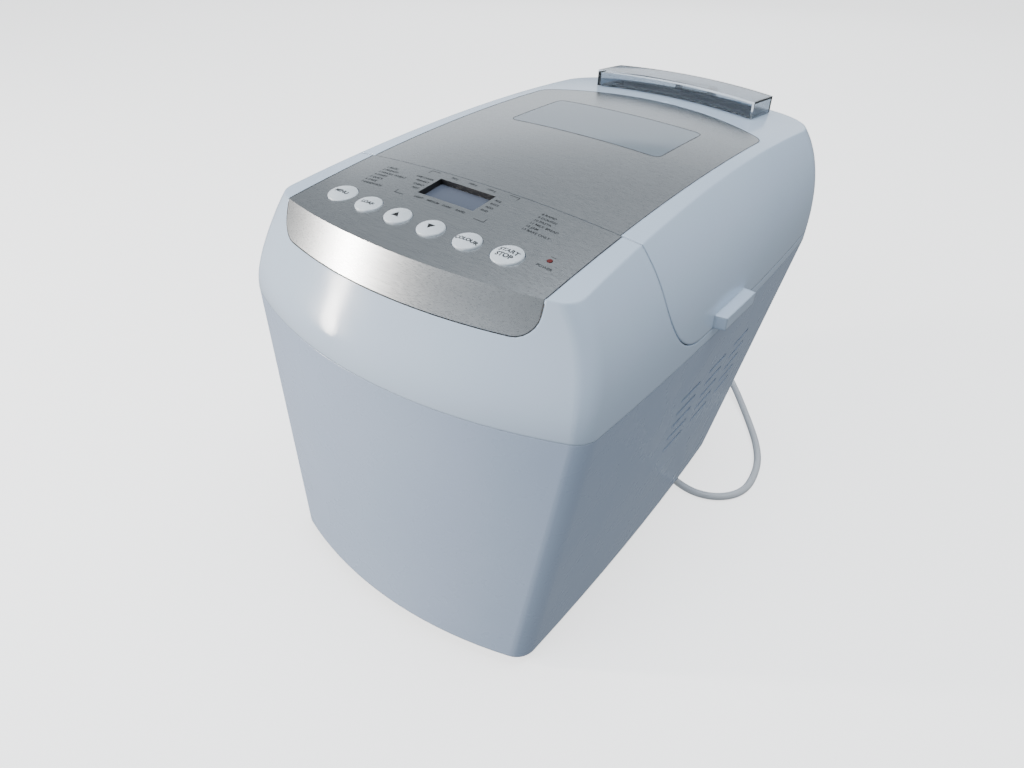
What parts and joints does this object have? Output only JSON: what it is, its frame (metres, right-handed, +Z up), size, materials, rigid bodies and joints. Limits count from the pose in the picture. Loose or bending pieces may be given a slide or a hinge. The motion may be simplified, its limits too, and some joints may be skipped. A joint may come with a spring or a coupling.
{
  "type": "bread machine",
  "caption": "Countertop bread machine: tapering housing, steel control plate with domed keys, hinged lid with window and ingredient box, baking chamber, pan and belt-driven paddle.",
  "frame": {"origin": "on the floor, under the middle of the machine without its cord", "axes": "+X to the user's right, +Y to the back, +Z up"},
  "size_m": [0.3294, 0.4949, 0.2923],
  "materials": {
    "white_gloss": "smooth moulded gloss",
    "white_satin": "fine moulded satin",
    "key_white": "smooth",
    "steel": "brushed across the machine",
    "smoked": "clear smoked",
    "pane": "clear",
    "lens": "clear",
    "black_plastic": "moulded",
    "grey_plastic": "moulded",
    "board": "varnished",
    "sheet_metal": "plain sheet",
    "motor_metal": "plain",
    "screw_steel": "bright",
    "shaft_steel": "ground",
    "aluminium": "rolled",
    "cast_aluminium": "cast",
    "coated": "matt coated",
    "element_metal": "matt oxide",
    "brass": "machined",
    "rubber": "matt",
    "belt_rubber": "matt",
    "silicone": "soft",
    "cord_white": "smooth sheath",
    "lamp_red": "clear red"
  },
  "bodies": {
    "housing": {"base_plate": "sheet_metal", "feet": "rubber", "base_screws": "screw_steel", "lower_housing": "white_satin", "upper_housing": "white_gloss", "control_plate": "steel", "display_lens": "lens", "display_module": "grey_plastic", "control_board": "board", "key_switches": "black_plastic", "power_lamp": "lamp_red", "power_board": "board", "chassis": "sheet_metal", "chassis_screws": "screw_steel", "motor": "motor_metal", "bearing_housing": "cast_aluminium", "shaft_bush": "brass", "drive_belt": "belt_rubber", "chamber_liner": "aluminium", "heating_element": "element_metal", "element_clips": "sheet_metal", "temperature_probe": "shaft_steel", "pan_socket": "cast_aluminium", "hinge_pins": "shaft_steel", "cord_gland": "cord_white", "power_cord": "cord_white", "cord_coil": "cord_white", "cord_tie": "black_plastic", "power_plug": "cord_white"},
    "pan": {"bread_pan": "coated", "pan_foot": "cast_aluminium", "pan_seal": "silicone"},
    "handle": {"pan_handle": "shaft_steel"},
    "drive": {"driven_pulley": "black_plastic", "drive_shaft": "shaft_steel", "drive_dog": "cast_aluminium", "pan_coupler": "cast_aluminium", "pan_shaft": "shaft_steel", "kneading_paddle": "coated"},
    "rotor": {"motor_shaft": "shaft_steel", "motor_pulley": "aluminium"},
    "lid": {"lid_shell": "white_gloss", "lid_plate": "steel", "window_glass": "smoked", "lid_liner": "aluminium", "inner_glass": "pane", "lid_gasket": "silicone", "dispenser_tray": "black_plastic"},
    "cover": {"dispenser_cover": "smoked"},
    "flap": {"dispenser_flap": "black_plastic"},
    "menu_key": {"key_menu": "key_white"},
    "loaf_key": {"key_loaf": "key_white"},
    "up_key": {"key_up": "key_white"},
    "down_key": {"key_down": "key_white"},
    "colour_key": {"key_colour": "key_white"},
    "start_key": {"key_start": "key_white"}
  },
  "joints": [
    {"name": "lid_hinge", "type": "hinge", "parent": "housing", "child": "lid", "pos_m": [0, 0.18696, 0.2065], "axis": [-1, 0, 0], "range_deg": [0, 80]},
    {"name": "cover_hinge", "type": "hinge", "parent": "lid", "child": "cover", "pos_m": [0, 0.18943, 0.27921], "axis": [-1, 0, 0], "range_deg": [0, 95]},
    {"name": "flap_hinge", "type": "hinge", "parent": "lid", "child": "flap", "pos_m": [0, 0.1172, 0.2415], "axis": [1, 0, 0], "range_deg": [0, 80], "stiffness_Nm_per_rad": 0.004, "springref_deg": -34.38},
    {"name": "pan_twist", "type": "hinge", "parent": "housing", "child": "pan", "pos_m": [0, 0.0318, 0.0739], "axis": [0, 0, 1], "range_deg": [0, 14]},
    {"name": "handle_swing", "type": "hinge", "parent": "pan", "child": "handle", "pos_m": [0, 0.0318, 0.2014], "axis": [-1, 0, 0], "range_deg": [0, 180]},
    {"name": "paddle_spin", "type": "hinge", "parent": "housing", "child": "drive", "pos_m": [0, 0.0318, 0.05], "axis": [0, 0, 1], "continuous": true},
    {"name": "motor_spin", "type": "hinge", "parent": "housing", "child": "rotor", "pos_m": [0, -0.1288, 0.05], "axis": [0, 0, 1], "continuous": true},
    {"name": "menu_press", "type": "slide", "parent": "housing", "child": "menu_key", "axis": [0, 0.1154, -0.9933], "range_m": [0, 0.0008], "stiffness_N_per_m": 800, "springref_m": -0.0008},
    {"name": "loaf_press", "type": "slide", "parent": "housing", "child": "loaf_key", "axis": [0, 0.1154, -0.9933], "range_m": [0, 0.0008], "stiffness_N_per_m": 800, "springref_m": -0.0008},
    {"name": "up_press", "type": "slide", "parent": "housing", "child": "up_key", "axis": [0, 0.1154, -0.9933], "range_m": [0, 0.0008], "stiffness_N_per_m": 800, "springref_m": -0.0008},
    {"name": "down_press", "type": "slide", "parent": "housing", "child": "down_key", "axis": [0, 0.1154, -0.9933], "range_m": [0, 0.0008], "stiffness_N_per_m": 800, "springref_m": -0.0008},
    {"name": "colour_press", "type": "slide", "parent": "housing", "child": "colour_key", "axis": [0, 0.1154, -0.9933], "range_m": [0, 0.0008], "stiffness_N_per_m": 800, "springref_m": -0.0008},
    {"name": "start_press", "type": "slide", "parent": "housing", "child": "start_key", "axis": [0, 0.1154, -0.9933], "range_m": [0, 0.0008], "stiffness_N_per_m": 800, "springref_m": -0.0008}
  ],
  "couplings": [
    {"joint": "motor_spin", "follows": "paddle_spin", "ratio": 5.1111}
  ]
}
